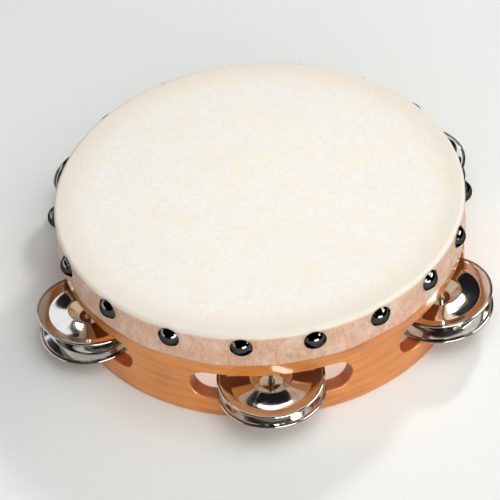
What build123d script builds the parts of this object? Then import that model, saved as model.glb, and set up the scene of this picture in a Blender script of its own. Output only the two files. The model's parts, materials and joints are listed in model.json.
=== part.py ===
"""Headed wooden tambourine: bent hoop, tacked skin head and six pairs of loose jingles on nails.

Millimetres, +Z up. The origin is the centre of the hoop's open lower edge, which the tambourine
stands on with its head up. Angles are in degrees, anticlockwise from +X seen from above, and the
slot that faces -Y is the front one.
"""
from build123d import *
import math
import os

os.makedirs("parts", exist_ok=True)

# Hoop: one bent strip of wood
HOOP_DIAMETER = 203.2
HOOP_WALL = 8.2
HOOP_HEIGHT = 55.4
LOWER_EDGE_RADIUS = 1.4
TOP_INNER_EDGE_RADIUS = 1.0
BEARING_EDGE_RADIUS = 2.5

# Slots: milled through the wall with round ends, one for each pair of jingles
SLOT_ANGLES = (269.4, 330.7, 32.0, 89.0, 145.5, 205.5)
SLOT_LENGTH = 80.5
SLOT_HEIGHT = 16.9
SLOT_FLOOR_HEIGHT = 11.6
SLOT_EDGE_RADIUS = 0.8

# Jingle nails: driven up through the hoop's lower edge, heads sunk flush
NAIL_DIAMETER = 2.2
NAIL_HEAD_DIAMETER = 4.4
NAIL_HEAD_THICKNESS = 1.0
NAIL_HEAD_RECESS = 0.3
NAIL_GRIP_ABOVE_SLOT = 12.0
NAIL_SETBACK = 4.1
NAIL_FIT = 0.04

# Jingles: stamped sheet discs, with a sunken cup round the nail and a rolled rim
JINGLE_DIAMETER = 52.0
JINGLE_SHEET = 0.6
JINGLE_HOLE_DIAMETER = 3.4
CUP_FLOOR_DIAMETER = 11.0
CUP_MOUTH_DIAMETER = 21.0
CUP_DEPTH = 3.1
FLAT_DIAMETER = 39.0
RIM_RISE = 1.9
RIM_BEAD_DIAMETER = 1.5

# How each pair lies at rest: tilts about the hoop's tangent, plus is outer side down
LOWER_TILTS = (-6.5, -3.5, 2.0, -2.5, 3.0, 4.5)
UPPER_TILTS = (5.0, -3.0, -1.5, 2.0, -2.0, -4.0)
REST_GAP = 0.3

# Head: a natural skin, folded down the hoop's outside and trimmed
SKIN_THICKNESS = 0.6
SKIN_LOWER_EDGE_HEIGHT = 36.5
SKIN_GLUE_GAP = 0.05

# Tacks: dome-headed nails through the folded skin into the hoop
TACK_COUNT = 18
TACK_HEIGHT = 50.0
TACK_HEAD_DIAMETER = 10.8
TACK_DOME_HEIGHT = 3.6
TACK_SHANK_DIAMETER = 1.8
TACK_SHANK_LENGTH = 7.5
TACK_POINT_LENGTH = 2.0
TACK_FIT = 0.04
TACK_SEAT_GAP = 0.02
# The tacks were set by hand: their pitch opens on one side of the hoop and closes on the other.
FIRST_TACK_ANGLE = 178.7
TACK_PITCH_SWING = 3.6
TACK_PITCH_TURN = 250.0

HOOP_RADIUS = HOOP_DIAMETER / 2
BORE_RADIUS = HOOP_RADIUS - HOOP_WALL
SLOT_ROOF_HEIGHT = SLOT_FLOOR_HEIGHT + SLOT_HEIGHT
NAIL_CIRCLE_RADIUS = HOOP_RADIUS - NAIL_SETBACK
SKIN_INNER_RADIUS = HOOP_RADIUS + SKIN_GLUE_GAP
SKIN_OUTER_RADIUS = SKIN_INNER_RADIUS + SKIN_THICKNESS
TACK_SEAT_RADIUS = SKIN_OUTER_RADIUS + TACK_SEAT_GAP
BEAD_RADIUS = RIM_BEAD_DIAMETER / 2
BEAD_CIRCLE_RADIUS = JINGLE_DIAMETER / 2 - BEAD_RADIUS
CUP_TO_BEAD = CUP_DEPTH + RIM_RISE


def around(angle):
    """The frame at an angle round the hoop: X outwards, Y along the tangent, Z up."""
    return Rot(0, 0, angle)


def radial_cylinder(angle, radius, start, end, height):
    """A cylinder whose axis runs outwards from one radius to another at a height."""
    length = end - start
    middle = Pos((start + end) / 2, 0, height)
    return around(angle) * middle * Rot(0, 90, 0) * Cylinder(radius, length)


def revolved(corners):
    """A solid of revolution about Z from a closed outline of (radius, height) corners."""
    outline = Plane.XZ * make_face(Polyline(*corners, close=True))
    return revolve(outline, Axis.Z)


# ---------------------------------------------------------------- hoop
def eased_corner(outline, x, y, radius):
    """The outline with its corner nearest (x, y) rounded."""
    corner = outline.vertices().sort_by_distance((x, y, 0))[0]
    return fillet(corner, min(radius, HOOP_WALL / 3))


def hoop_ring():
    """The bent strip with its four edges eased."""
    outline = Pos((BORE_RADIUS + HOOP_RADIUS) / 2, HOOP_HEIGHT / 2) * Rectangle(HOOP_WALL, HOOP_HEIGHT)
    outline = eased_corner(outline, BORE_RADIUS, 0, LOWER_EDGE_RADIUS)
    outline = eased_corner(outline, HOOP_RADIUS, 0, LOWER_EDGE_RADIUS)
    outline = eased_corner(outline, BORE_RADIUS, HOOP_HEIGHT, TOP_INNER_EDGE_RADIUS)
    outline = eased_corner(outline, HOOP_RADIUS, HOOP_HEIGHT, BEARING_EDGE_RADIUS)
    return revolve(Plane.XZ * outline, Axis.Z)


def slot_cutter(angle):
    """What the milling bit removes for one slot: a curved bar with round ends."""
    end_radius = SLOT_HEIGHT / 2
    middle_height = (SLOT_FLOOR_HEIGHT + SLOT_ROOF_HEIGHT) / 2
    straight_half = math.degrees((SLOT_LENGTH / 2 - end_radius) / HOOP_RADIUS)
    inside, outside = BORE_RADIUS - HOOP_WALL, HOOP_RADIUS + HOOP_WALL
    section = Pos((inside + outside) / 2, middle_height) * Rectangle(outside - inside, SLOT_HEIGHT)
    cutter = around(angle - straight_half) * revolve(Plane.XZ * section, Axis.Z, 2 * straight_half)
    for end in (angle - straight_half, angle + straight_half):
        cutter += radial_cylinder(end, end_radius, inside, outside, middle_height)
    return cutter


def is_slot_edge(edge):
    """Whether an edge is where a slot breaks out of the hoop's inner or outer face."""
    middle = edge.position_at(0.5)
    radius = math.hypot(middle.X, middle.Y)
    on_a_face = min(abs(radius - HOOP_RADIUS), abs(radius - BORE_RADIUS)) < HOOP_WALL / 100
    return on_a_face and SLOT_FLOOR_HEIGHT - 0.1 < middle.Z < SLOT_ROOF_HEIGHT + 0.1


def nail_bore(angle):
    """The hole for a jingle nail, with the sinking for its head."""
    bore_top = SLOT_ROOF_HEIGHT + NAIL_GRIP_ABOVE_SLOT + NAIL_FIT
    sinking_top = NAIL_HEAD_RECESS + NAIL_HEAD_THICKNESS
    radius = NAIL_DIAMETER / 2 + NAIL_FIT
    head_radius = NAIL_HEAD_DIAMETER / 2 + NAIL_FIT
    bore = revolved([(0, -1), (head_radius, -1), (head_radius, sinking_top), (radius, sinking_top),
                     (radius, bore_top), (0, bore_top)])
    return around(angle) * Pos(NAIL_CIRCLE_RADIUS, 0, 0) * bore


def hoop():
    """The finished hoop: slots, their broken edges, nail bores and tack holes."""
    body = hoop_ring()
    for angle in SLOT_ANGLES:
        body -= slot_cutter(angle)
    edges = body.edges().filter_by(is_slot_edge)
    body = fillet(edges, min(SLOT_EDGE_RADIUS, HOOP_WALL / 4))
    for angle in SLOT_ANGLES:
        body -= nail_bore(angle)
    for angle in tack_angles():
        body -= tack_hole(angle)
    return body


# ---------------------------------------------------------------- head and tacks
def head_skin():
    """The skin over the hoop's top, its folded band and the holes that the tacks made."""
    top = HOOP_HEIGHT + SKIN_GLUE_GAP
    fold = BEARING_EDGE_RADIUS + SKIN_GLUE_GAP
    inner_line = FilletPolyline(
        (0, top), (SKIN_INNER_RADIUS, top), (SKIN_INNER_RADIUS, SKIN_LOWER_EDGE_HEIGHT), radius=fold)
    outer_top = top + SKIN_THICKNESS
    outer_line = FilletPolyline(
        (0, outer_top), (SKIN_OUTER_RADIUS, outer_top), (SKIN_OUTER_RADIUS, SKIN_LOWER_EDGE_HEIGHT),
        radius=fold + SKIN_THICKNESS)
    axis_line = Line((0, top), (0, outer_top))
    trim_line = Line((SKIN_INNER_RADIUS, SKIN_LOWER_EDGE_HEIGHT), (SKIN_OUTER_RADIUS, SKIN_LOWER_EDGE_HEIGHT))
    section = make_face(inner_line + outer_line + axis_line + trim_line)
    skin = revolve(Plane.XZ * section, Axis.Z)
    for angle in tack_angles():
        skin -= tack_hole(angle)
    return skin


def tack_angles():
    """Where the tacks are round the hoop."""
    even = [FIRST_TACK_ANGLE + 360 / TACK_COUNT * i for i in range(TACK_COUNT)]
    return [angle + TACK_PITCH_SWING * math.cos(math.radians(angle - TACK_PITCH_TURN)) for angle in even]


def tack_hole(angle):
    """The hole that one tack's shank fills, through the skin and into the hoop."""
    depth = TACK_SEAT_RADIUS - TACK_SHANK_LENGTH - TACK_FIT
    return radial_cylinder(angle, TACK_SHANK_DIAMETER / 2 + TACK_FIT, depth, TACK_SEAT_RADIUS + 1, TACK_HEIGHT)


def tack():
    """One dome-headed tack along +Z, its head's flat underside at the origin."""
    shank = TACK_SHANK_DIAMETER / 2
    head = TACK_HEAD_DIAMETER / 2
    dome_radius = (head ** 2 + TACK_DOME_HEIGHT ** 2) / (2 * TACK_DOME_HEIGHT)
    half_angle = math.asin(head / dome_radius) / 2
    mid = (dome_radius * math.sin(half_angle), TACK_DOME_HEIGHT - dome_radius * (1 - math.cos(half_angle)))
    dome = ThreePointArc((head, 0), mid, (0, TACK_DOME_HEIGHT))
    rest = Polyline(
        (0, TACK_DOME_HEIGHT), (0, -TACK_SHANK_LENGTH), (shank, TACK_POINT_LENGTH - TACK_SHANK_LENGTH),
        (shank, 0), (head, 0))
    return revolve(Plane.XZ * make_face(dome + rest), Axis.Z)


def head_tacks():
    """All the tacks, seated on the skin."""
    one = tack()
    seat = Pos(TACK_SEAT_RADIUS, 0, TACK_HEIGHT) * Rot(0, 90, 0)
    return Compound(children=[around(angle) * seat * one for angle in tack_angles()])


# ---------------------------------------------------------------- jingles and their nails
def jingle_nail(angle):
    """One nail, its head sunk in the hoop's lower edge and its tip above the slot."""
    radius, head_radius = NAIL_DIAMETER / 2, NAIL_HEAD_DIAMETER / 2
    head_top = NAIL_HEAD_RECESS + NAIL_HEAD_THICKNESS
    tip = SLOT_ROOF_HEIGHT + NAIL_GRIP_ABOVE_SLOT
    nail = revolved([(0, NAIL_HEAD_RECESS), (head_radius, NAIL_HEAD_RECESS), (head_radius, head_top),
                     (radius, head_top), (radius, tip - radius), (0, tip)])
    return around(angle) * Pos(NAIL_CIRCLE_RADIUS, 0, 0) * nail


def jingle():
    """One jingle, rim up: the middle of its cup's underside is the origin."""
    hole, floor, mouth = JINGLE_HOLE_DIAMETER / 2, CUP_FLOOR_DIAMETER / 2, CUP_MOUTH_DIAMETER / 2
    flat, sheet = FLAT_DIAMETER / 2, JINGLE_SHEET
    under = [(hole, 0), (floor, 0), (mouth, CUP_DEPTH), (flat, CUP_DEPTH)]
    neck = BEAD_CIRCLE_RADIUS - BEAD_RADIUS * 0.8
    rim_under = CUP_TO_BEAD - sheet / 2
    bead = [(BEAD_CIRCLE_RADIUS + BEAD_RADIUS * math.cos(math.radians(turn)),
             CUP_TO_BEAD + BEAD_RADIUS * math.sin(math.radians(turn))) for turn in range(-120, 121, 40)]
    over = [(neck, rim_under + sheet), (flat - sheet / 2, CUP_DEPTH + sheet),
            (mouth - sheet / 2, CUP_DEPTH + sheet), (floor - sheet / 2, sheet), (hole, sheet)]
    return revolved(under + [(neck, rim_under)] + bead + over)


def bead_reach(tilt):
    """How far along the nail, from its cup, a jingle's rim reaches where it passes the wall.

    The tilt here is positive where the outer side reaches further from the cup.
    """
    slope = math.sin(math.radians(tilt))
    shift = CUP_TO_BEAD * slope
    crossings = []
    for face_radius in (BORE_RADIUS, HOOP_RADIUS):
        square = face_radius ** 2 - NAIL_CIRCLE_RADIUS ** 2 - BEAD_CIRCLE_RADIUS ** 2
        crossings.append(square / (2 * NAIL_CIRCLE_RADIUS) + shift)
    return CUP_TO_BEAD * math.cos(math.radians(tilt)) + max(slope * at for at in crossings) + BEAD_RADIUS


def jingle_pair(index):
    """The two jingles of one slot, as (lower, upper), lying as they do at rest."""
    angle, low_tilt, up_tilt = SLOT_ANGLES[index], LOWER_TILTS[index], UPPER_TILTS[index]
    low_height = SLOT_FLOOR_HEIGHT + REST_GAP + bead_reach(low_tilt)
    slopes_apart = abs(math.tan(math.radians(up_tilt)) - math.tan(math.radians(low_tilt)))
    up_height = low_height + REST_GAP + CUP_FLOOR_DIAMETER / 2 * slopes_apart
    play = SLOT_ROOF_HEIGHT - REST_GAP - up_height - bead_reach(-up_tilt)
    print(f"pair {index + 1}: play along the nail {play:.2f} mm")
    axis = around(angle) * Pos(NAIL_CIRCLE_RADIUS, 0, 0)
    lower = axis * Pos(0, 0, low_height) * Rot(0, low_tilt, 0) * Rot(180, 0, 0) * jingle()
    upper = axis * Pos(0, 0, up_height) * Rot(0, up_tilt, 0) * jingle()
    return lower, upper


def main():
    """Writes one STEP file for each node."""
    export_step(hoop(), "parts/hoop.step")
    export_step(head_skin(), "parts/head_skin.step")
    export_step(head_tacks(), "parts/head_tacks.step")
    for index, angle in enumerate(SLOT_ANGLES):
        number = index + 1
        lower, upper = jingle_pair(index)
        export_step(jingle_nail(angle), f"parts/jingle_nail_{number}.step")
        export_step(lower, f"parts/jingle_{number}_lower.step")
        export_step(upper, f"parts/jingle_{number}_upper.step")


main()
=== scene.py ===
"""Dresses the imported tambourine: a lacquered bent-wood hoop, a tacked skin head and stamped jingles.

Metres, in the frame's own axes: +Z up, the head on top and the front slot towards -Y. Lengths that
a maker would quote in millimetres are written as a number times MM. Every piece is made in place,
with its object at the origin.
"""
import json
import math

import bpy
import numpy as np
from mathutils import Matrix, Vector, noise


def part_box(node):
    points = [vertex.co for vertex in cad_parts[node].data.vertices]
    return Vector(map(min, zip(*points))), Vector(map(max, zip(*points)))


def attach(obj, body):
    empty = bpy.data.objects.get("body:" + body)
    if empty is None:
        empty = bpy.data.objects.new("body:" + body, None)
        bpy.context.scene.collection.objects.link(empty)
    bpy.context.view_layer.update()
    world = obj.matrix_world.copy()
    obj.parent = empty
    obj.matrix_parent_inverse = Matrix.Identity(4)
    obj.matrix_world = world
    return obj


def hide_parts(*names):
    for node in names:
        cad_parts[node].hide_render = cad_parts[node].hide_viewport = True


bl_info = {
    "name": "Tambourine Dresser",
    "version": (1, 0, 0),
    "blender": (4, 5, 0),
    "location": "3D View > Sidebar > Tambourine",
    "description": "Gives a tambourine's frame its wood, skin, tacks, jingles and studio",
    "category": "Object",
}

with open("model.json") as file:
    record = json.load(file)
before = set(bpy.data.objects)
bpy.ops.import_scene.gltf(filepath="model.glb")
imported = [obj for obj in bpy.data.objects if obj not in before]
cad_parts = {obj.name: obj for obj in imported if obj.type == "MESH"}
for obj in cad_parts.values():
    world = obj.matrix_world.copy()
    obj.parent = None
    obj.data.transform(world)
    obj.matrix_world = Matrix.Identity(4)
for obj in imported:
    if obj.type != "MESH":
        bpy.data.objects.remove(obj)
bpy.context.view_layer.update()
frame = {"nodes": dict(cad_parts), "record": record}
MM = 0.001


# ------------------------ what the frame says
def node_points(node):
    """A node's vertices as rows of x, y, z."""
    return np.array([vertex.co for vertex in frame["nodes"][node].data.vertices])


def body_carrying(node):
    """The body that a node rides on."""
    bodies = frame["record"]["behaviour"]["bodies"]
    return next(body for body, members in bodies.items() if node in members)


def jingle_nodes():
    """The names of the jingle nodes, in order."""
    return sorted(name for name in frame["nodes"] if name.endswith(("_lower", "_upper")))


def nail_nodes():
    """The names of the jingle nail nodes, in order."""
    return sorted(name for name in frame["nodes"] if name.startswith("jingle_nail"))


HOOP_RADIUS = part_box("hoop")[1].x
SKIN_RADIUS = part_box("head_skin")[1].x
SKIN_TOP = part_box("head_skin")[1].z
SKIN_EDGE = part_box("head_skin")[0].z
# A wider turn than this between two points means another tack.
TACK_GAP = math.radians(5)
# Points past this share of a jingle's radius are on its rolled rim.
OUTER_RIM = 0.97


def tack_seats():
    """Where the tacks' heads sit on the skin, as (angle in radians, height) round the hoop."""
    points = node_points("head_tacks")
    heads = points[np.hypot(points[:, 0], points[:, 1]) > SKIN_RADIUS]
    turns = np.arctan2(heads[:, 1], heads[:, 0])
    order = np.argsort(turns)
    turns, heights = turns[order], heads[order, 2]
    starts = np.flatnonzero(np.diff(turns) > TACK_GAP) + 1
    groups = list(zip(np.split(turns, starts), np.split(heights, starts)))
    if groups[-1][0][-1] - groups[0][0][0] > 2 * math.pi - TACK_GAP:
        last_turns, last_heights = groups.pop()
        first_turns, first_heights = groups[0]
        groups[0] = (np.append(last_turns - 2 * math.pi, first_turns), np.append(last_heights, first_heights))
    return [((turn.min() + turn.max()) / 2, (height.min() + height.max()) / 2) for turn, height in groups]


def jingle_place(node):
    """The matrix from a jingle's own frame to its place in the tambourine.

    Its own frame has the middle of the cup's outer face at the origin, the rim towards +Z and
    the hoop's outside towards +X.
    """
    mesh = frame["nodes"][node].data
    points = node_points(node)
    corners = points[np.array([face.vertices[:3] for face in mesh.polygons])]
    areas = np.linalg.norm(np.cross(corners[:, 1] - corners[:, 0], corners[:, 2] - corners[:, 0]), axis=1)
    middles = corners.mean(axis=1)
    centre = np.average(middles, axis=0, weights=areas)
    spread = np.cov((middles - centre).T, aweights=areas)
    axis = np.linalg.eigh(spread)[1][:, 0]
    heights = (points - centre) @ axis
    radii = np.linalg.norm((points - centre) - np.outer(heights, axis), axis=1)
    if heights[radii > OUTER_RIM * radii.max()].mean() < 0:
        axis, heights = -axis, -heights
    axis = Vector(axis)
    origin = Vector(centre) + axis * heights.min()
    side = axis.cross(Vector((centre[0], centre[1], 0))).normalized()
    turn = Matrix((side.cross(axis), side, axis)).transposed()
    return Matrix.Translation(origin) @ turn.to_4x4()


# ------------------------ values a user would change
def length(name, description, millimetres):
    """A length property with its default in millimetres."""
    return bpy.props.FloatProperty(
        name=name, description=description, default=millimetres * MM, min=0.0, unit="LENGTH",
        subtype="DISTANCE", precision=5)


def share(name, description, value):
    """A property from 0 to 1."""
    return bpy.props.FloatProperty(
        name=name, description=description, default=value, min=0.0, max=1.0, subtype="FACTOR")


def amount(name, description, value):
    """A plain number."""
    return bpy.props.FloatProperty(name=name, description=description, default=value)


def angle(name, description, degrees):
    """An angle property with its default in degrees."""
    return bpy.props.FloatProperty(
        name=name, description=description, default=math.radians(degrees), unit="ROTATION", subtype="ANGLE")


def colour(name, description, red, green, blue):
    """A linear colour property."""
    return bpy.props.FloatVectorProperty(
        name=name, description=description, default=(red, green, blue), min=0.0, max=1.0, subtype="COLOR")


def seed(name, value):
    """A seed for what is scattered or noisy."""
    return bpy.props.IntProperty(name=name, description="Changes the random pattern", default=value, min=0)


class HoopFinish(bpy.types.PropertyGroup):
    """The bent-wood hoop's lacquered surface."""
    pale: colour("Pale Wood", "The wood between its grain lines", 0.86, 0.345, 0.062)
    warm: colour("Warm Wood", "The wood's main colour", 0.74, 0.232, 0.030)
    dark: colour("Dark Grain", "The darkest grain lines", 0.40, 0.135, 0.035)
    # The cut colour is partly the slots' darker end grain and partly painted shade of the slots' recesses.
    cut: colour("Cut Wood And Slot Shade", "End grain where the slots are milled through", 0.30, 0.060, 0.018)
    streak_length: length("Streak Length", "How long the broad streaks run round the hoop", 85)
    streak_height: length("Streak Height", "How tall the broad streaks are", 3.6)
    fibre_length: length("Fibre Length", "How long the fine fibres are", 15)
    fibre_height: length("Fibre Height", "How tall the fine fibres are", 0.55)
    lacquer: share("Lacquer", "How much clear lacquer lies on the wood", 0.75)
    slot_floor: length("Slot Floor", "Height of the slots' lower sides", 11.6)
    slot_roof: length("Slot Roof", "Height of the slots' upper sides", 28.5)
    wall: length("Wall", "How thick the bent strip is", 8.2)


class HeadForm(bpy.types.PropertyGroup):
    """The skin head: its fold, band, trimmed edge and colours."""
    thickness: length("Skin Thickness", "How thick the skin is", 0.6)
    fold: length("Fold Radius", "How tightly the skin folds over the hoop", 2.2)
    bulge: length("Band Bulge", "How far the band stands off the hoop between the tacks", 0.32)
    pleat: length("Pleat Depth", "How deep the band's fine pleats are", 0.10)
    pleat_width: length("Pleat Width", "How wide one pleat is", 2.4)
    trim: length("Trim Wander", "How far the trimmed edge wanders up and down", 0.55)
    ripple: length("Top Ripple", "How far the top is from flat near its edge", 0.10)
    tack_hold: length("Tack Hold", "How far round a tack the skin is held flat", 6.2)
    top: colour("Top", "The skin over the hoop's opening", 0.96, 0.93, 0.86)
    blush: colour("Blush", "The warmer patches and the ring near the fold", 0.98, 0.80, 0.70)
    fleck: colour("Fleck", "Fine darker flecks in the top", 0.84, 0.77, 0.70)
    haze: colour("Haze", "The top's thinner, yellower patches", 0.95, 0.90, 0.76)
    band: colour("Band", "The folded skin on the hoop's side", 0.84, 0.52, 0.37)
    fibre: colour("Fibre", "Darker lines in the band", 0.60, 0.33, 0.21)
    glow_depth: length("Glow Depth", "How far light travels inside the skin", 0.9)
    seed: seed("Seed", 3)


class TackForm(bpy.types.PropertyGroup):
    """The dome-headed tacks."""
    head_diameter: length("Head Diameter", "Across a tack's head", 11.0)
    dome_height: length("Dome Height", "From the skin to the top of the dome", 3.6)
    lip: length("Lip", "Radius of the head's turned edge", 0.35)
    shank_diameter: length("Shank Diameter", "Across the part in the wood", 1.8)
    shank_length: length("Shank Length", "From the skin to the point", 7.5)
    lean: angle("Lean", "How far a tack may lean from square", 2.5)
    seat_drop: length("Seat Drop", "How far below its mark a tack is tapped in", 1.0)
    # Near black as painted dark reflection: it stands for the dark room that the domes mirror.
    metal: colour("Metal", "The plating's reflected colour", 0.066, 0.065, 0.062)
    seed: seed("Seed", 5)


class JingleForm(bpy.types.PropertyGroup):
    """The stamped jingles, seen with the rim up."""
    diameter: length("Diameter", "Across the rolled rim", 52)
    sheet: length("Sheet", "How thick the sheet is", 0.6)
    hole: length("Hole Diameter", "The hole for the nail", 3.4)
    cup_floor: length("Cup Floor Diameter", "The flat middle of the cup", 11)
    cup_mouth: length("Cup Mouth Diameter", "Across the cup's lip", 20.8)
    cup_depth: length("Cup Depth", "From the cup's outer face to the face round the cup", 3.1)
    crown: length("Crown", "How far the face rises to the cup's lip", 1.75)
    heel: length("Heel Diameter", "Where the wall begins to rise", 40)
    rim_rise: length("Rim Rise", "From the face to the middle of the rolled rim", 1.9)
    bead: length("Rim Diameter", "Thickness of the rolled rim", 1.5)
    dent: length("Dent Depth", "How far the stamped face is from true", 0.05)
    dent_width: length("Dent Width", "How wide one dent is", 11)
    warp: length("Warp", "How far the rim is out of flat", 0.14)
    metal: colour("Metal", "The plating's reflected colour", 0.74, 0.73, 0.70)
    tarnish: colour("Tarnish", "The handled plating of the rolled rim", 0.34, 0.31, 0.28)
    seed: seed("Seed", 11)


class NailFinish(bpy.types.PropertyGroup):
    """The steel of the jingle nails."""
    metal: colour("Metal", "The steel's reflected colour", 0.60, 0.60, 0.59)


class StudioSettings(bpy.types.PropertyGroup):
    """The floor, the lights and the camera."""
    paper: colour("Paper", "The floor's colour", 0.865, 0.885, 0.870)
    floor_size: amount("Floor Size", "Side of the square floor in metres", 9.0)
    sky: colour("Studio Dark", "The unlit studio overhead", 0.012, 0.012, 0.013)
    horizon: colour("Studio Walls", "The studio near the floor", 0.05, 0.05, 0.052)
    through_skin: amount("Through Skin", "How bright the head's underside glows", 0.75)
    camera_distance: amount("Camera Distance", "From the middle of the floor, in metres", 1.2832)
    camera_height: angle("Camera Elevation", "The camera's angle above the floor", 43.47)
    camera_roll: angle("Camera Roll", "The camera's turn about its own axis", 4.46)
    camera_pan: angle("Camera Pan", "The camera's turn to the side of the middle", 0.30)
    camera_tilt: angle("Camera Tilt", "The camera's turn above the middle", 0.54)
    lens: amount("Lens", "Focal length in millimetres on a 36 mm sensor", 180.6)


GROUPS = {
    "tambourine_hoop": HoopFinish,
    "tambourine_head": HeadForm,
    "tambourine_tacks": TackForm,
    "tambourine_jingles": JingleForm,
    "tambourine_nails": NailFinish,
    "tambourine_studio": StudioSettings,
}


# ------------------------ meshes
# The most that one step round a corner turns, and the radius under which a point is on the axis.
ROUND_STEP = math.radians(6)
ON_AXIS = 1e-9


def mesh_object(name, points, faces):
    """A smooth-shaded object in the scene from its points and faces."""
    mesh = bpy.data.meshes.new(name)
    mesh.from_pydata([tuple(point) for point in points], [], faces)
    mesh.shade_smooth()
    piece = bpy.data.objects.new(name, mesh)
    bpy.context.scene.collection.objects.link(piece)
    return piece


def turned_grid(outline, segments):
    """Points and faces of a closed outline of (radius, height) turned about +Z.

    The outline runs anticlockwise seen with +Z up and the radius to the right, so faces point out.
    An outline that starts and ends on the axis is closed there by fans.
    """
    outline = np.asarray(outline, float)
    capped = outline[0, 0] < ON_AXIS
    rings = outline[1:-1] if capped else outline
    turns = np.arange(segments) * 2 * math.pi / segments
    points = np.stack([
        np.outer(rings[:, 0], np.cos(turns)),
        np.outer(rings[:, 0], np.sin(turns)),
        np.repeat(rings[:, 1:], segments, axis=1)], axis=-1).reshape(-1, 3)
    faces = []
    count = len(rings)
    for ring in range(count - 1 if capped else count):
        here, after = ring * segments, (ring + 1) % count * segments
        for turn in range(segments):
            beside = (turn + 1) % segments
            faces.append((here + turn, here + beside, after + beside, after + turn))
    if capped:
        first, last = len(points), len(points) + 1
        points = np.vstack([points, (0, 0, outline[0, 1]), (0, 0, outline[-1, 1])])
        top = (count - 1) * segments
        for turn in range(segments):
            beside = (turn + 1) % segments
            faces.append((first, beside, turn))
            faces.append((last, top + turn, top + beside))
    return points, faces


def arc(centre_radius, centre_height, radius, start, end, steps):
    """Points of an arc in the (radius, height) plane, from start to end in degrees."""
    return [(centre_radius + radius * math.cos(math.radians(start + (end - start) * step / steps)),
             centre_height + radius * math.sin(math.radians(start + (end - start) * step / steps)))
            for step in range(steps + 1)]


def rounded_line(corners):
    """The line through (radius, height, rounding) corners, each corner an arc of its rounding."""
    line = [np.array(corners[0][:2])]
    for before, corner, after in zip(corners, corners[1:], corners[2:]):
        here = np.array(corner[:2])
        back = np.array(before[:2]) - here
        onward = np.array(after[:2]) - here
        back, onward = back / np.linalg.norm(back), onward / np.linalg.norm(onward)
        half = math.acos(np.clip(back @ onward, -1, 1)) / 2
        bisector = (back + onward) / np.linalg.norm(back + onward)
        centre = here + bisector * corner[2] / math.sin(half)
        sweep = math.pi - 2 * half
        first = here + back * corner[2] / math.tan(half) - centre
        side = 1 if back[0] * onward[1] - back[1] * onward[0] < 0 else -1
        steps = max(3, math.ceil(sweep / ROUND_STEP))
        for count in range(steps + 1):
            turn = side * sweep * count / steps
            cos, sin = math.cos(turn), math.sin(turn)
            line.append(centre + (cos * first[0] - sin * first[1], sin * first[0] + cos * first[1]))
    line.append(np.array(corners[-1][:2]))
    return np.array(line)


def split_long(line, longest):
    """A line with its long stretches divided, so that a bent surface has enough points."""
    points = [line[0]]
    for before, after in zip(line, line[1:]):
        parts = max(1, math.ceil(np.linalg.norm(after - before) / longest))
        points.extend(before + (after - before) * part / parts for part in range(1, parts + 1))
    return np.array(points)


def offset_line(line, distance):
    """A line moved sideways by a distance, to the left of the way that it runs."""
    ways = np.gradient(line, axis=0)
    ways /= np.linalg.norm(ways, axis=1)[:, None]
    return line + distance * np.stack([-ways[:, 1], ways[:, 0]], axis=1)


def ease(value, low, high):
    """0 below low, 1 above high and smooth between."""
    share_of = np.clip((value - low) / (high - low), 0, 1)
    return share_of * share_of * (3 - 2 * share_of)


def wander(points, width, phase):
    """Smooth noise from -1 to 1 at each point, with features about as wide as given."""
    shift = Vector((phase * 7.31, phase * 3.17, phase * 5.93))
    return np.array([noise.noise(Vector(point) / width + shift) for point in points])


def add_attribute(piece, name, values):
    """Stores one number for each vertex, for the piece's material to read."""
    layer = piece.data.attributes.new(name, "FLOAT", "POINT")
    layer.data.foreach_set("value", np.asarray(values, np.float32))


# ------------------------ node trees
def feed(tree, socket, value):
    """Joins an input to the socket that feeds it, or sets it to a plain value."""
    if isinstance(value, bpy.types.NodeSocket):
        tree.links.new(value, socket)
    else:
        socket.default_value = value


def add(tree, kind, inputs=None, **settings):
    """Adds a node; each input is a value or the socket that feeds it."""
    node = tree.nodes.new(kind)
    count = len(tree.nodes)
    node.location = (240 * (count % 8), -280 * (count // 8))
    for name, value in settings.items():
        setattr(node, name, value)
    for key, value in (inputs or {}).items():
        feed(tree, node.inputs[key], value)
    return node


def maths(tree, operation, first, second=0.0, third=0.0):
    """The result of one sum on numbers or sockets."""
    return add(tree, "ShaderNodeMath", {0: first, 1: second, 2: third}, operation=operation).outputs[0]


def product(tree, first, second):
    """Two numbers or sockets multiplied."""
    return maths(tree, "MULTIPLY", first, second)


def total(tree, first, second):
    """Two numbers or sockets added."""
    return maths(tree, "ADD", first, second)


def rest_of(tree, value):
    """What is left of 1 when a value is taken from it."""
    return maths(tree, "SUBTRACT", 1.0, value)


def vector_maths(tree, operation, first, second):
    """The result of one sum on vectors or sockets."""
    node = add(tree, "ShaderNodeVectorMath", {0: first, 1: second}, operation=operation)
    return node.outputs["Value" if operation == "LENGTH" else "Vector"]


def rgba(value):
    """A colour with its alpha."""
    return (*value, 1.0)


def darker(value, part):
    """A colour with each channel cut to a part of itself, with its alpha."""
    return rgba([channel * part for channel in value])


def noise_at(tree, vector, scale=1.0, detail=3.0, roughness=0.5):
    """A noise texture's factor."""
    sockets = {"Vector": vector, "Scale": scale, "Detail": detail, "Roughness": roughness}
    return add(tree, "ShaderNodeTexNoise", sockets).outputs["Fac"]


def stretched(tree, vector, across, up):
    """Coordinates divided by a feature's length in X and Y and by its height in Z."""
    return vector_maths(tree, "MULTIPLY", vector, (1 / across, 1 / across, 1 / up))


def ramp(tree, factor, stops):
    """A colour ramp through (place, colour) stops."""
    node = add(tree, "ShaderNodeValToRGB", {"Fac": factor})
    elements = node.color_ramp.elements
    while len(elements) < len(stops):
        elements.new(0.5)
    for element, (place, value) in zip(elements, stops):
        element.position = place
        element.color = rgba(value)
    return node.outputs["Color"]


def between(tree, factor, low, high):
    """How far a factor is from low to high, eased and kept within 0 and 1."""
    return add(tree, "ShaderNodeMapRange", {"Value": factor, "From Min": low, "From Max": high},
               interpolation_type="SMOOTHSTEP").outputs["Result"]


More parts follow.
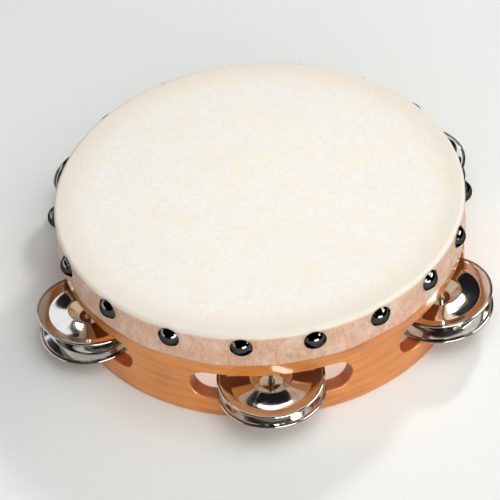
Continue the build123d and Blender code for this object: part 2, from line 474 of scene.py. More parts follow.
def mixed(tree, factor, first, second, blend="MIX"):
    """Two colours mixed."""
    sockets = {0: factor, 6: first, 7: second}
    return add(tree, "ShaderNodeMix", sockets, data_type="RGBA", blend_type=blend).outputs[2]


def bump(tree, height, distance, strength):
    """A bumped normal."""
    sockets = {"Height": height, "Distance": distance, "Strength": strength}
    return add(tree, "ShaderNodeBump", sockets).outputs["Normal"]


def new_material(name):
    """An empty material, its tree and its Principled shader, joined to the output."""
    material = bpy.data.materials.new(name)
    material.use_nodes = True
    tree = material.node_tree
    tree.nodes.clear()
    shader = add(tree, "ShaderNodeBsdfPrincipled")
    add(tree, "ShaderNodeOutputMaterial", {"Surface": shader.outputs["BSDF"]})
    return material, tree, shader


def set_sockets(tree, shader, values):
    """Sets a shader's sockets from values and feeds them from sockets."""
    for name, value in values.items():
        feed(tree, shader.inputs[name], value)


def object_coordinates(tree):
    """The place on a piece, in metres in the tambourine's own axes."""
    return add(tree, "ShaderNodeTexCoord").outputs["Object"]


def round_radius(tree, vector):
    """The distance from the hoop's axis."""
    flat = vector_maths(tree, "MULTIPLY", vector, (1, 1, 0))
    return vector_maths(tree, "LENGTH", flat, (0, 0, 0))


def height_of(tree, vector):
    """The height above the floor."""
    return add(tree, "ShaderNodeSeparateXYZ", {"Vector": vector}).outputs["Z"]


# ------------------------ materials
# How often the wood's grain bends, and how far it wanders up.
BENDS_PER_METRE = 9
GRAIN_LIFT = 5 * MM
# How deep past the hoop's faces the cut wood's colour, its end grain with painted shade over it, starts and
# is full.
CUT_STARTS = 0.35 * MM
CUT_FULL = 1.3 * MM
# How far above and below a slot that colour starts to fade and is gone.
SLOT_NEAR = 0.5 * MM
SLOT_FAR = 1.5 * MM
PRESS_RINGS_PER_METRE = 2600
# The tacks' dark edge tint keeps their rims from mirroring light at a slant: painted dark reflection.
TACK_EDGE_DARKENING = (0.24, 0.24, 0.23)


def hoop_wood(finish):
    """Honey-brown bent hardwood under gloss lacquer, darker where the slots are cut through it: partly the
    end grain's own colour, partly painted shade in the slots.
    """
    material, tree, shader = new_material("lacquered_hoop_wood")
    place = object_coordinates(tree)
    bend = noise_at(tree, vector_maths(tree, "MULTIPLY", place, (BENDS_PER_METRE,) * 3), detail=2)
    lifted = add(tree, "ShaderNodeCombineXYZ", {"Z": product(tree, bend, GRAIN_LIFT)}).outputs[0]
    along = vector_maths(tree, "ADD", place, lifted)
    streaks = noise_at(tree, stretched(tree, along, finish.streak_length, finish.streak_height), detail=3)
    fibres = noise_at(tree, stretched(tree, along, finish.fibre_length, finish.fibre_height), detail=4,
                      roughness=0.6)
    flecks = noise_at(tree, stretched(tree, along, 4.5 * MM, 0.8 * MM), detail=1)
    mottle = noise_at(tree, stretched(tree, place, 22 * MM, 14 * MM), detail=2)
    grain = total(tree, product(tree, streaks, 0.55), product(tree, fibres, 0.45))
    grain = total(tree, grain, product(tree, maths(tree, "SUBTRACT", mottle, 0.5), 0.35))
    wood = ramp(tree, grain, [(0.30, finish.dark), (0.47, finish.warm), (0.70, finish.pale)])
    specks = between(tree, flecks, 0.66, 0.78)
    wood = mixed(tree, product(tree, specks, 0.35), wood, rgba(finish.dark))
    # Inside the slots the wood is darkened and reddened: the end grain's own colour with painted shade of the
    # recess mixed in.
    cut = product(tree, slot_cut_and_shade(tree, place, finish), 0.85)
    shade = mixed(tree, 0.45, rgba(finish.cut), mixed(tree, 1.0, wood, rgba(finish.cut), "MULTIPLY"))
    surface = mixed(tree, cut, wood, shade)
    pores = bump(tree, total(tree, fibres, product(tree, flecks, 0.5)), 0.05 * MM, 0.5)
    film = bump(tree, noise_at(tree, stretched(tree, place, 5 * MM, 3 * MM), detail=2), 0.035 * MM, 0.6)
    set_sockets(tree, shader, {
        "Base Color": surface,
        "Roughness": maths(tree, "MULTIPLY_ADD", fibres, 0.22, 0.30),
        "Normal": pores,
        "Coat Weight": finish.lacquer,
        "Coat Roughness": 0.10,
        "Coat IOR": 1.5,
        "Coat Normal": film,
        "Specular IOR Level": 0.35,
    })
    return material


def slot_cut_and_shade(tree, place, finish):
    """1 on the wood cut through inside a slot, where the end grain and the painted shade go, and 0 on the
    hoop's faces and edges.
    """
    depth = maths(tree, "SUBTRACT", HOOP_RADIUS, round_radius(tree, place))
    past_face = between(tree, depth, CUT_STARTS, CUT_FULL)
    before_bore = rest_of(tree, between(tree, depth, finish.wall - CUT_FULL, finish.wall - CUT_STARTS))
    height = height_of(tree, place)
    above_floor = between(tree, height, finish.slot_floor - SLOT_FAR, finish.slot_floor - SLOT_NEAR)
    below_roof = rest_of(tree, between(tree, height, finish.slot_roof + SLOT_NEAR,
                                       finish.slot_roof + SLOT_FAR))
    in_slot = product(tree, above_floor, below_roof)
    return product(tree, product(tree, past_face, before_bore), in_slot)


def skin_top(tree, form, place, radius, patches, grain_spots):
    """The colour of the skin's top: cloudy, finely flecked, and blushed towards the fold."""
    clouds = noise_at(tree, place, scale=38, detail=4, roughness=0.6)
    mottle = total(tree, product(tree, clouds, 0.5), product(tree, patches, 0.5))
    blushes = product(tree, between(tree, mottle, 0.46, 0.68), 0.45)
    top = mixed(tree, blushes, rgba(form.top), rgba(form.blush))
    flecks = product(tree, between(tree, grain_spots, 0.42, 0.66), 0.42)
    top = mixed(tree, flecks, top, rgba(form.fleck))
    hazy = product(tree, between(tree, noise_at(tree, place, scale=75, detail=3), 0.50, 0.68), 0.5)
    top = mixed(tree, hazy, top, rgba(form.haze))
    near_fold = between(tree, total(tree, radius, product(tree, patches, 12 * MM)),
                        SKIN_RADIUS - 15 * MM, SKIN_RADIUS + 3 * MM)
    return mixed(tree, product(tree, near_fold, 0.9), top, rgba(form.blush))


def skin_band(tree, form, place, fibres, grain_spots):
    """The colour of the folded band: tan, with fine darker lines and paler stains."""
    stains = noise_at(tree, place, scale=130, detail=3, roughness=0.6)
    speckle = total(tree, product(tree, fibres, 0.55), product(tree, grain_spots, 0.45))
    band = mixed(tree, between(tree, speckle, 0.44, 0.70), rgba(form.band), rgba(form.fibre))
    stained = product(tree, between(tree, stains, 0.45, 0.72), 0.55)
    return mixed(tree, stained, band, rgba(form.blush))


def head_skin_material(form):
    """Natural skin: pale and mottled on top, blushed near the fold, tanner and pleated on the band."""
    material, tree, shader = new_material("natural_skin")
    place = object_coordinates(tree)
    patches = noise_at(tree, place, scale=210, detail=4, roughness=0.65)
    grain_spots = noise_at(tree, place, scale=760, detail=3, roughness=0.6)
    fibres = noise_at(tree, stretched(tree, place, 1.6 * MM, 5 * MM), detail=4, roughness=0.7)
    top = skin_top(tree, form, place, round_radius(tree, place), patches, grain_spots)
    band = skin_band(tree, form, place, fibres, grain_spots)
    down = between(tree, maths(tree, "SUBTRACT", SKIN_TOP, height_of(tree, place)), 0.9 * MM, 3.4 * MM)
    skin = mixed(tree, down, top, band)
    # Darker and redder within a millimetre of the trimmed edge: partly the glue line, partly painted shade
    # and a painted wood reflection along the edge.
    from_edge = add(tree, "ShaderNodeAttribute", attribute_name="from_edge").outputs["Fac"]
    edge = rest_of(tree, between(tree, from_edge, 0.15 * MM, 1.1 * MM))
    skin = mixed(tree, product(tree, edge, 0.75), skin, rgba(form.fibre))
    pores = add(tree, "ShaderNodeTexVoronoi", {"Vector": place, "Scale": 950.0}).outputs["Distance"]
    follicles = rest_of(tree, between(tree, pores, 0.05, 0.22))
    skin = mixed(tree, product(tree, follicles, 0.10), skin, rgba(form.fibre))
    grain = total(tree, product(tree, follicles, -0.5), noise_at(tree, place, scale=700, detail=3))
    grain = total(tree, grain, product(tree, fibres, product(tree, down, 2.5)))
    set_sockets(tree, shader, {
        "Base Color": skin,
        "Roughness": maths(tree, "MULTIPLY_ADD", patches, 0.2, 0.42),
        "Normal": bump(tree, grain, 0.05 * MM, 0.7),
        "Specular IOR Level": 0.35,
        "Subsurface Weight": 1.0,
        "Subsurface Radius": (1.0, 0.85, 0.7),
        "Subsurface Scale": form.glow_depth,
    })
    return material


def tack_metal_painted_dark(form):
    """Nickel plating with a little wear, coloured near black and dark at its edges as painted dark reflection
    of the studio.
    """
    material, tree, shader = new_material("tack_plating_painted_dark")
    place = object_coordinates(tree)
    wear = noise_at(tree, place, scale=420, detail=4, roughness=0.6)
    tint = mixed(tree, between(tree, wear, 0.45, 0.8), rgba(form.metal), darker(form.metal, 0.72))
    set_sockets(tree, shader, {
        "Base Color": tint,
        "Metallic": 1.0,
        "Roughness": maths(tree, "MULTIPLY_ADD", wear, 0.08, 0.03),
        "Normal": bump(tree, noise_at(tree, place, scale=900, detail=2), 0.012 * MM, 0.5),
        "Specular Tint": rgba(TACK_EDGE_DARKENING),
    })
    return material


def jingle_metal(form):
    """Bright nickel plate with the faint rings of its pressing."""
    material, tree, shader = new_material("jingle_plating")
    place = object_coordinates(tree)
    ring = add(tree, "ShaderNodeAttribute", attribute_name="ring").outputs["Fac"]
    ring_count = product(tree, ring, PRESS_RINGS_PER_METRE)
    ring_place = add(tree, "ShaderNodeCombineXYZ", {"X": ring_count}).outputs[0]
    rings = noise_at(tree, ring_place, detail=3, roughness=0.7)
    haze = noise_at(tree, place, scale=130, detail=4, roughness=0.6)
    scratches = noise_at(tree, stretched(tree, place, 6 * MM, 0.25 * MM), detail=2)
    tint = mixed(tree, between(tree, haze, 0.48, 0.80), rgba(form.metal), darker(form.metal, 0.82))
    rolled = between(tree, ring, form.diameter / 2 - form.bead * 1.1, form.diameter / 2 - form.bead * 0.6)
    tint = mixed(tree, rolled, tint, rgba(form.tarnish))
    height = maths(tree, "MULTIPLY_ADD", scratches, 0.25, rings)
    set_sockets(tree, shader, {
        "Base Color": tint,
        "Metallic": 1.0,
        "Roughness": maths(tree, "MULTIPLY_ADD", haze, 0.12, 0.035),
        "Normal": bump(tree, height, 0.004 * MM, 0.5),
    })
    return material


def nail_steel(finish):
    """Drawn steel wire with its length-wise lines."""
    material, tree, shader = new_material("nail_wire")
    place = object_coordinates(tree)
    lines = noise_at(tree, stretched(tree, place, 0.15 * MM, 6 * MM), detail=3)
    tint = mixed(tree, lines, rgba(finish.metal), darker(finish.metal, 0.6))
    set_sockets(tree, shader, {
        "Base Color": tint,
        "Metallic": 1.0,
        "Roughness": maths(tree, "MULTIPLY_ADD", lines, 0.2, 0.22),
        "Normal": bump(tree, lines, 0.02 * MM, 0.4),
    })
    return material


def paper_material(settings):
    """The floor's matt paper, with a faint tooth."""
    material, tree, shader = new_material("studio_paper")
    place = object_coordinates(tree)
    tooth = noise_at(tree, place, scale=500, detail=3)
    set_sockets(tree, shader, {
        "Base Color": mixed(tree, product(tree, tooth, 0.06), rgba(settings.paper),
                            darker(settings.paper, 0.9)),
        "Roughness": 0.75,
        "Specular IOR Level": 0.2,
        "Normal": bump(tree, tooth, 0.03 * MM, 0.3),
    })
    return material


# ------------------------ the hoop and the nails
def dress_node(node, material):
    """Gives a carried node its material."""
    mesh = frame["nodes"][node].data
    mesh.materials.clear()
    mesh.materials.append(material)


# ------------------------ the head
HEAD_SEGMENTS = 480
HEAD_RINGS = 30
FOLD_STEPS = 9
BAND_ROWS = 22
LIP_STEPS = 4
# Under 1, the top's rings stand closer together towards the fold.
RING_CROWDING = 0.7
# How far past a tack's hold the skin comes free.
HOLD_EASE = 7 * MM
# How wide the band's swells, the trimmed edge's waves and snags, and the top's spokes and waves are.
SWELL_WIDTH = 13 * MM
TRIM_WIDTH = 17 * MM
SNAG_WIDTH = 4 * MM
SPOKE_WIDTH = 9 * MM
WAVE_WIDTH = 45 * MM


def head_outline(form):
    """The skin's outer line from the middle of the top to the trimmed edge."""
    flat = SKIN_RADIUS - form.fold
    rings = [(flat * (ring / HEAD_RINGS) ** RING_CROWDING, SKIN_TOP) for ring in range(HEAD_RINGS)]
    fold = arc(flat, SKIN_TOP - form.fold, form.fold, 90, 0, FOLD_STEPS)
    band_top = SKIN_TOP - form.fold
    drop = band_top - SKIN_EDGE
    band = [(SKIN_RADIUS, band_top - drop * row / BAND_ROWS) for row in range(1, BAND_ROWS + 1)]
    return np.array(rings + fold + band)


def closed_skin(outer, thickness):
    """The skin's whole section: out along the inside, round the trimmed edge and back along the top."""
    inner = offset_line(outer, -thickness)
    inner[0] = (0, outer[0, 1] - thickness)
    inner[:, 0] = np.maximum.accumulate(inner[:, 0])
    edge_radius = thickness / 2
    lip = arc(SKIN_RADIUS - edge_radius, SKIN_EDGE + edge_radius, edge_radius, 180, 360, LIP_STEPS)
    keep_outer = outer[outer[:, 1] > SKIN_EDGE + edge_radius]
    keep_inner = inner[:len(keep_outer)]
    return np.vstack([keep_inner, lip, keep_outer[::-1]])


def off_the_tacks(turns, hold):
    """0 where a tack holds the skin down and 1 midway between two tacks."""
    seats = np.array([turn for turn, _ in tack_seats()])
    apart = np.abs((turns[:, None] - seats[None, :] + math.pi) % (2 * math.pi) - math.pi).min(axis=1)
    return ease(apart * SKIN_RADIUS, hold, hold + HOLD_EASE)


def shape_skin(points, form):
    """Moves the turned skin's points: band bulges, pleats, a wandering edge and a faintly rippled top."""
    radii = np.hypot(points[:, 0], points[:, 1])
    turns = np.arctan2(points[:, 1], points[:, 0])
    free = off_the_tacks(turns, form.tack_hold)
    down = ease(SKIN_TOP - points[:, 2], form.fold, SKIN_TOP - SKIN_EDGE)
    side = ease(radii, SKIN_RADIUS - form.fold - 1 * MM, SKIN_RADIUS - form.thickness)
    round_place = np.stack([np.cos(turns), np.sin(turns), points[:, 2] * 0], axis=1) * SKIN_RADIUS
    pleats = wander(round_place + np.outer(points[:, 2], (0, 0, 0.12)), form.pleat_width, form.seed)
    swells = wander(round_place, SWELL_WIDTH, form.seed + 1)
    out = down * free * form.bulge * (1 + 0.6 * swells)
    out += side * ease(down, 0.02, 0.5) * (0.35 + 0.65 * free) * form.pleat * (0.5 + 0.5 * pleats)
    edge = wander(round_place, TRIM_WIDTH, form.seed + 2)
    edge = edge + 0.35 * wander(round_place, SNAG_WIDTH, form.seed + 3)
    lift = ease(down, 0.35, 1.0) * form.trim * edge
    inward = ease(radii, SKIN_RADIUS * 0.80, SKIN_RADIUS - form.fold) * (1 - side)
    spokes = wander(round_place, SPOKE_WIDTH, form.seed + 4) * (1 - 0.4 * free)
    waves = wander(points * (1, 1, 0), WAVE_WIDTH, form.seed + 5)
    ripple = (inward * spokes + 0.5 * waves * (1 - side)) * form.ripple
    outward = points[:, :2] / np.maximum(radii, ON_AXIS)[:, None]
    points[:, :2] += outward * out[:, None]
    points[:, 2] += lift + ripple - form.ripple
    return points


def make_head(form):
    """The skin as one closed sheet over the hoop, standing for the plain one."""
    section = closed_skin(head_outline(form), form.thickness)
    points, faces = turned_grid(section, HEAD_SEGMENTS)
    flat_heights = points[:, 2].copy()
    points = shape_skin(points, form)
    head = mesh_object("skin_head", points, faces)
    on_band = np.hypot(points[:, 0], points[:, 1]) > SKIN_RADIUS - 2 * form.thickness
    add_attribute(head, "from_edge", np.where(on_band, flat_heights - SKIN_EDGE, 1.0))
    head.data.materials.append(head_skin_material(form))
    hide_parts("head_skin")
    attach(head, body_carrying("head_skin"))


# ------------------------ the tacks
TACK_SEGMENTS = 48
EDGE_STEPS = 7
DOME_STEPS = 14
POINT_LENGTH = 2 * MM
# The slope where the shank meets the head.
NECK = 0.3 * MM
# A point on the head's flat underside, as a share of its radius.
UNDERSIDE = 0.6


def tack_outline(form):
    """Half a tack's section from the point, along the shank and under the head to the dome's top."""
    head, lip, shank = form.head_diameter / 2, form.lip, form.shank_diameter / 2
    rise = form.dome_height - lip
    reach = head - lip
    dome = (reach ** 2 + rise ** 2) / (2 * rise)
    steep = math.degrees(math.asin(min(1.0, reach / dome)))
    point = [(0, -form.shank_length), (shank, -form.shank_length + POINT_LENGTH), (shank, -NECK)]
    under = [(shank + NECK, 0), (head * UNDERSIDE, 0)]
    turned_edge = arc(reach, lip, lip, -90, 90 - steep, EDGE_STEPS)
    crown = arc(0, form.dome_height - dome, dome, 90 - steep, 90, DOME_STEPS)
    return point + under + turned_edge + crown[1:]


def tack_mesh(form):
    """One tack along +Z, its head's underside at the origin."""
    points, faces = turned_grid(tack_outline(form), TACK_SEGMENTS)
    return mesh_object("one_tack", points, faces)


def tack_tree():
    """The Geometry Nodes tree that sets a tack on each point, square to the hoop but for a small lean."""
    tree = bpy.data.node_groups.new("set_tacks", "GeometryNodeTree")
    face = tree.interface
    for name, kind in (("Geometry", "Geometry"), ("Tack", "Object"), ("Lean", "Float"), ("Scale", "Float"),
                       ("Seed", "Int"), ("Material", "Material")):
        face.new_socket(name, in_out="INPUT", socket_type=f"NodeSocket{kind}")
    face.new_socket("Geometry", in_out="OUTPUT", socket_type="NodeSocketGeometry")
    given = add(tree, "NodeGroupInput")
    where = add(tree, "GeometryNodeInputPosition").outputs[0]
    outward = vector_maths(tree, "MULTIPLY", where, (1, 1, 0))
    square = add(tree, "FunctionNodeAlignRotationToVector", {"Vector": outward}, axis="Z")
    low = add(tree, "ShaderNodeCombineXYZ", {
        "X": maths(tree, "MULTIPLY", given.outputs["Lean"], -1.0),
        "Y": maths(tree, "MULTIPLY", given.outputs["Lean"], -1.0)}).outputs[0]
    high = add(tree, "ShaderNodeCombineXYZ", {
        "X": given.outputs["Lean"], "Y": given.outputs["Lean"], "Z": 2 * math.pi}).outputs[0]
    leaning = add(tree, "FunctionNodeRandomValue", {0: low, 1: high, "Seed": given.outputs["Seed"]},
                  data_type="FLOAT_VECTOR")
    turned = add(tree, "FunctionNodeRotateRotation", {
        "Rotation": square.outputs[0], "Rotate By": leaning.outputs[0]}, rotation_space="LOCAL")
    tack = add(tree, "GeometryNodeObjectInfo", {"Object": given.outputs["Tack"]})
    placed = add(tree, "GeometryNodeInstanceOnPoints", {
        "Points": given.outputs["Geometry"], "Instance": tack.outputs["Geometry"],
        "Rotation": turned.outputs[0], "Scale": given.outputs["Scale"]})
    real = add(tree, "GeometryNodeRealizeInstances", {"Geometry": placed.outputs[0]})
    finished = add(tree, "GeometryNodeSetMaterial", {
        "Geometry": real.outputs[0], "Material": given.outputs["Material"]})
    add(tree, "NodeGroupOutput", {"Geometry": finished.outputs[0]})
    return tree


def set_input(modifier, name, value):
    """Sets a Geometry Nodes modifier's input by the identifier of the socket with that name."""
    sockets = modifier.node_group.interface.items_tree
    identifier = next(item.identifier for item in sockets if item.name == name and item.in_out == "INPUT")
    modifier[identifier] = value


def baked(carrier, name):
    """The evaluated result of an object's modifiers as a plain mesh object; the carrier is removed."""
    bpy.context.view_layer.update()
    graph = bpy.context.evaluated_depsgraph_get()
    mesh = bpy.data.meshes.new_from_object(carrier.evaluated_get(graph))
    mesh.name = name
    piece = bpy.data.objects.new(name, mesh)
    bpy.context.scene.collection.objects.link(piece)
    bpy.data.objects.remove(carrier)
    return piece


def make_tacks(form):
    """All the tacks on the skin's band, set by a Geometry Nodes tree on the frame's own places."""
    seats = [(SKIN_RADIUS * math.cos(turn), SKIN_RADIUS * math.sin(turn), height - form.seat_drop)
             for turn, height in tack_seats()]
    carrier = mesh_object("tack_places", seats, [])
    pattern = tack_mesh(form)
    modifier = carrier.modifiers.new("set_tacks", "NODES")
    modifier.node_group = tack_tree()
    for name, value in (("Tack", pattern), ("Lean", form.lean), ("Scale", 1.0), ("Seed", form.seed),
                        ("Material", tack_metal_painted_dark(form))):
        set_input(modifier, name, value)
    tacks = baked(carrier, "dome_tacks")
    bpy.data.objects.remove(pattern)
    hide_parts("head_tacks")
    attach(tacks, body_carrying("head_tacks"))


# ------------------------ the jingles
JINGLE_SEGMENTS = 128
CROWN_STEPS = 7
# Over 1, the crown is steeper beside the cup.
CROWN_CURVE = 1.5
ROLL_STEPS = 20
LONGEST_STRETCH = 0.8 * MM
# The roundings of the cup's floor, its lip, the crown and the heel.
FLOOR_ROUND = 1.3 * MM
LIP_ROUND = 0.8 * MM
CROWN_ROUND = 10 * MM
HEEL_ROUND = 1.4 * MM


def jingle_outline(form):
    """The section of a jingle's sheet, rim up, as a closed line that ends at the nail hole."""
    sheet, bead = form.sheet, form.bead / 2
    middle = sheet / 2
    face_height = form.cup_depth + middle
    bead_radius = form.diameter / 2 - bead
    bead_height = form.cup_depth + form.rim_rise
    lip, heel = form.cup_mouth / 2, form.heel / 2
    shares = [step / CROWN_STEPS for step in range(1, CROWN_STEPS)]
    crown = [(lip + (heel - lip) * part, face_height + form.crown * (1 - part) ** CROWN_CURVE, CROWN_ROUND)
             for part in shares]
    line = rounded_line([
        (form.hole / 2, middle),
        (form.cup_floor / 2, middle, FLOOR_ROUND),
        (lip, face_height + form.crown, LIP_ROUND),
        *crown,
        (heel, face_height, HEEL_ROUND),
        (bead_radius - bead * 0.9, bead_height - 0.15 * MM)])
    line = split_long(line, LONGEST_STRETCH)
    over, under = offset_line(line, middle), offset_line(line, -middle)
    enter = math.degrees(math.atan2(over[-1, 1] - bead_height, over[-1, 0] - bead_radius))
    leave = math.degrees(math.atan2(under[-1, 1] - bead_height, under[-1, 0] - bead_radius))
    roll = arc(bead_radius, bead_height, bead, leave % 360 - 360, enter, ROLL_STEPS)
    return np.vstack([under, roll, over[::-1]])


def press_marks(points, form, index):
    """Each jingle's own small dents and warp, along its axis."""
    radii = np.hypot(points[:, 0], points[:, 1])
    turns = np.arctan2(points[:, 1], points[:, 0])
    reach = form.diameter / 2
    outside_cup = ease(radii, form.cup_floor / 2, form.cup_mouth / 2)
    dents = wander(points * (1, 1, 0), form.dent_width, form.seed + 3 * index) * form.dent
    saddle = np.cos(2 * turns + 1.7 * index) * (radii / reach) ** 2 * form.warp
    points[:, 2] += outside_cup * (dents + saddle)
    return points


def make_jingle(node, index, form, material):
    """One jingle in the place of its plain one, on the same body."""
    points, faces = turned_grid(jingle_outline(form), JINGLE_SEGMENTS)
    radii = np.hypot(points[:, 0], points[:, 1])
    points = press_marks(points, form, index)
    piece = mesh_object(f"pressed_{node}", points, faces)
    add_attribute(piece, "ring", radii)
    piece.data.transform(jingle_place(node))
    piece.data.materials.append(material)
    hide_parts(node)
    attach(piece, body_carrying(node))


# ------------------------ the studio
# In millimetres, as the lens is.
SENSOR_WIDTH = 36
LAMP_WHITE = (1.0, 0.99, 0.97)
SOFT_WHITE = (1.0, 1.0, 0.99)
WARM_WHITE = (1.0, 0.98, 0.94)
COOL_WHITE = (0.97, 0.98, 1.0)
WINDOW_WHITE = (0.95, 0.97, 1.0)
THROUGH_SKIN_TINT = (1.0, 0.95, 0.90)


def direction(azimuth, elevation):
    """The unit vector towards an azimuth from +X and an elevation, in degrees."""
    turn, rise = math.radians(azimuth), math.radians(elevation)
    return Vector((math.cos(rise) * math.cos(turn), math.cos(rise) * math.sin(turn), math.sin(rise)))


def soft_light(name, azimuth, elevation, distance, width, height, glow, tint):
    """A soft box that faces the tambourine. Its glow is its brightness as seen in a mirror."""
    data = bpy.data.lights.new(name, "AREA")
    data.shape = "RECTANGLE"
    data.size, data.size_y = width, height
    data.energy = glow * math.pi * width * height
    data.color = tint
    light = bpy.data.objects.new(name, data)
    way = direction(azimuth, elevation)
    light.location = way * distance
    light.rotation_euler = way.to_track_quat("Z", "Y").to_euler()
    light.visible_camera = False
    bpy.context.scene.collection.objects.link(light)
    return light


def mirror_card(*arguments):
    """A soft box that shows in reflections, in metal, lacquer or skin, and lights nothing matt."""
    soft_light(*arguments).visible_diffuse = False


def plain_fill(*arguments):
    """A soft box that lights matt surfaces and shows in no reflection."""
    soft_light(*arguments).visible_glossy = False


def light_through_skin(settings):
    """The daylight that comes down through the head, as a soft disc under it that nothing mirrors."""
    reach = 2 * (HOOP_RADIUS - 12 * MM)
    light = soft_light("through_skin", 0, 90, SKIN_TOP - 2 * MM, reach, reach, settings.through_skin,
                       THROUGH_SKIN_TINT)
    light.data.shape = "DISK"
    light.visible_glossy = False
    light.rotation_euler = (0, 0, 0)


def studio_world(settings):
    """A dark studio overhead with walls that pale towards the floor."""
    world = bpy.data.worlds.new("studio_air")
    world.use_nodes = True
    tree = world.node_tree
    tree.nodes.clear()
    way = add(tree, "ShaderNodeTexCoord").outputs["Generated"]
    rise = add(tree, "ShaderNodeSeparateXYZ", {"Vector": way}).outputs["Z"]
    air = mixed(tree, between(tree, rise, 0.02, 0.30), rgba(settings.horizon), rgba(settings.sky))
    glow = add(tree, "ShaderNodeBackground", {"Color": air, "Strength": 1.0})
    add(tree, "ShaderNodeOutputWorld", {"Surface": glow.outputs[0]})
    bpy.context.scene.world = world


def place_camera(settings):
    """The camera in front of the tambourine, looking down on it."""
    data = bpy.data.cameras.new("studio_camera")
    data.lens = settings.lens
    data.sensor_width = SENSOR_WIDTH
    data.clip_start, data.clip_end = 0.01, 100
    camera = bpy.data.objects.new("studio_camera", data)
    rise = settings.camera_height
    away = Vector((0, -math.cos(rise), math.sin(rise))) * settings.camera_distance
    turn = (Matrix.Rotation(math.pi / 2 - rise, 4, "X") @ Matrix.Rotation(settings.camera_pan, 4, "Y")
            @ Matrix.Rotation(settings.camera_tilt, 4, "X") @ Matrix.Rotation(-settings.camera_roll, 4, "Z"))
    camera.matrix_world = Matrix.Translation(away) @ turn
    bpy.context.scene.collection.objects.link(camera)
    bpy.context.scene.camera = camera


def make_studio(settings):
    """The paper floor, the soft boxes, the air and the camera."""
    half = settings.floor_size / 2
    corners = [(-half, -half, 0), (half, -half, 0), (half, half, 0), (-half, half, 0)]
    floor = mesh_object("paper_floor", corners, [(0, 1, 2, 3)])
    floor.data.materials.append(paper_material(settings))
    light_studio(settings)
    studio_world(settings)
    place_camera(settings)
    plain_view(bpy.context.scene.view_settings)


def light_studio(settings):
    """The fills for matt surfaces, the cards that show in the gloss and the light through the skin."""
    # Each soft box: name, azimuth, elevation, distance, width, height, glow and tint.
    plain_fill("right_fill", -6, 40, 1.60, 1.00, 1.00, 1.4, LAMP_WHITE)
    plain_fill("front_fill", -84, 44, 1.60, 1.60, 1.60, 2.1, SOFT_WHITE)
    plain_fill("overhead_fill", -40, 78, 1.60, 1.20, 1.20, 1.9, SOFT_WHITE)
    plain_fill("back_fill", 60, 37, 1.80, 0.24, 0.24, 62, LAMP_WHITE)
    mirror_card("right_card", -6, 36, 1.35, 0.90, 0.36, 20.0, LAMP_WHITE)
    mirror_card("front_card", -70, 9, 1.30, 0.86, 0.36, 20.0, LAMP_WHITE)
    mirror_card("left_card", 176, 8, 1.30, 1.90, 0.50, 4.2, WINDOW_WHITE)
    mirror_card("back_card", 115, 46, 1.50, 1.15, 0.60, 1.1, COOL_WHITE)
    mirror_card("top_card", 94, 71, 1.40, 0.80, 0.26, 8.0, WARM_WHITE)
    mirror_card("key_card", 42, 54, 1.40, 0.42, 0.42, 8.0, WARM_WHITE)
    light_through_skin(settings)


def plain_view(view):
    """Shows colours as they are, with no look or exposure over them."""
    view.view_transform = "Standard"
    view.look = "None"
    view.exposure = 0.0
    view.gamma = 1.0


# ------------------------ operators, panel and run
class OBJECT_OT_tambourine_studio(bpy.types.Operator):
    """Lay the paper floor and set the lights and the camera"""
    bl_idname = "object.tambourine_studio"
    bl_label = "Studio"

    def execute(self, context):
        make_studio(context.scene.tambourine_studio)
        return {"FINISHED"}


class OBJECT_OT_tambourine_hoop(bpy.types.Operator):
    """Finish the bent hoop in lacquered wood"""
    bl_idname = "object.tambourine_hoop"
    bl_label = "Hoop"

    def execute(self, context):
        dress_node("hoop", hoop_wood(context.scene.tambourine_hoop))
        return {"FINISHED"}


class OBJECT_OT_tambourine_head(bpy.types.Operator):
    """Stretch the skin over the hoop and fold it down the side"""
    bl_idname = "object.tambourine_head"
    bl_label = "Skin Head"

    def execute(self, context):
        make_head(context.scene.tambourine_head)
        return {"FINISHED"}


class OBJECT_OT_tambourine_tacks(bpy.types.Operator):
    """Set the dome-headed tacks through the skin"""
    bl_idname = "object.tambourine_tacks"
    bl_label = "Tacks"

    def execute(self, context):
        make_tacks(context.scene.tambourine_tacks)
        return {"FINISHED"}


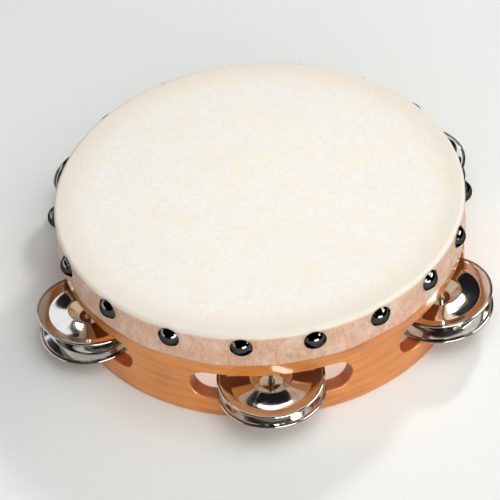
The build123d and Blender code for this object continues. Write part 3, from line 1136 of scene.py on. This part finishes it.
class OBJECT_OT_tambourine_jingles(bpy.types.Operator):
    """Press the jingles and hang them in their slots"""
    bl_idname = "object.tambourine_jingles"
    bl_label = "Jingles"

    def execute(self, context):
        form = context.scene.tambourine_jingles
        material = jingle_metal(form)
        for index, node in enumerate(jingle_nodes()):
            make_jingle(node, index, form, material)
        return {"FINISHED"}


class OBJECT_OT_tambourine_nails(bpy.types.Operator):
    """Finish the jingle nails in drawn steel"""
    bl_idname = "object.tambourine_nails"
    bl_label = "Jingle Nails"

    def execute(self, context):
        material = nail_steel(context.scene.tambourine_nails)
        for node in nail_nodes():
            dress_node(node, material)
        return {"FINISHED"}


OPERATORS = (
    OBJECT_OT_tambourine_studio,
    OBJECT_OT_tambourine_hoop,
    OBJECT_OT_tambourine_head,
    OBJECT_OT_tambourine_tacks,
    OBJECT_OT_tambourine_jingles,
    OBJECT_OT_tambourine_nails,
)


class VIEW3D_PT_tambourine(bpy.types.Panel):
    """The steps that dress the tambourine, with the values that each one uses"""
    bl_idname = "VIEW3D_PT_tambourine"
    bl_label = "Tambourine"
    bl_space_type = "VIEW_3D"
    bl_region_type = "UI"
    bl_category = "Tambourine"

    def draw(self, context):
        for operator in OPERATORS:
            self.layout.operator(operator.bl_idname)
        for name in GROUPS:
            box = self.layout.box()
            group = getattr(context.scene, name)
            for key in group.bl_rna.properties.keys():
                if key not in ("rna_type", "name"):
                    box.prop(group, key)


def register():
    """Registers the property groups, the operators and the panel."""
    for name, group in GROUPS.items():
        bpy.utils.register_class(group)
        setattr(bpy.types.Scene, name, bpy.props.PointerProperty(type=group))
    for operator in OPERATORS:
        bpy.utils.register_class(operator)
    bpy.utils.register_class(VIEW3D_PT_tambourine)


def unregister():
    """Takes away what register added."""
    bpy.utils.unregister_class(VIEW3D_PT_tambourine)
    for operator in reversed(OPERATORS):
        bpy.utils.unregister_class(operator)
    for name, group in reversed(GROUPS.items()):
        delattr(bpy.types.Scene, name)
        bpy.utils.unregister_class(group)


def main():
    """Dresses the tambourine."""
    register()
    for operator in OPERATORS:
        group, name = operator.bl_idname.split(".")
        if getattr(getattr(bpy.ops, group), name)() != {"FINISHED"}:
            raise RuntimeError(f"{operator.bl_label} did not finish")


if __name__ == "__main__":
    main()
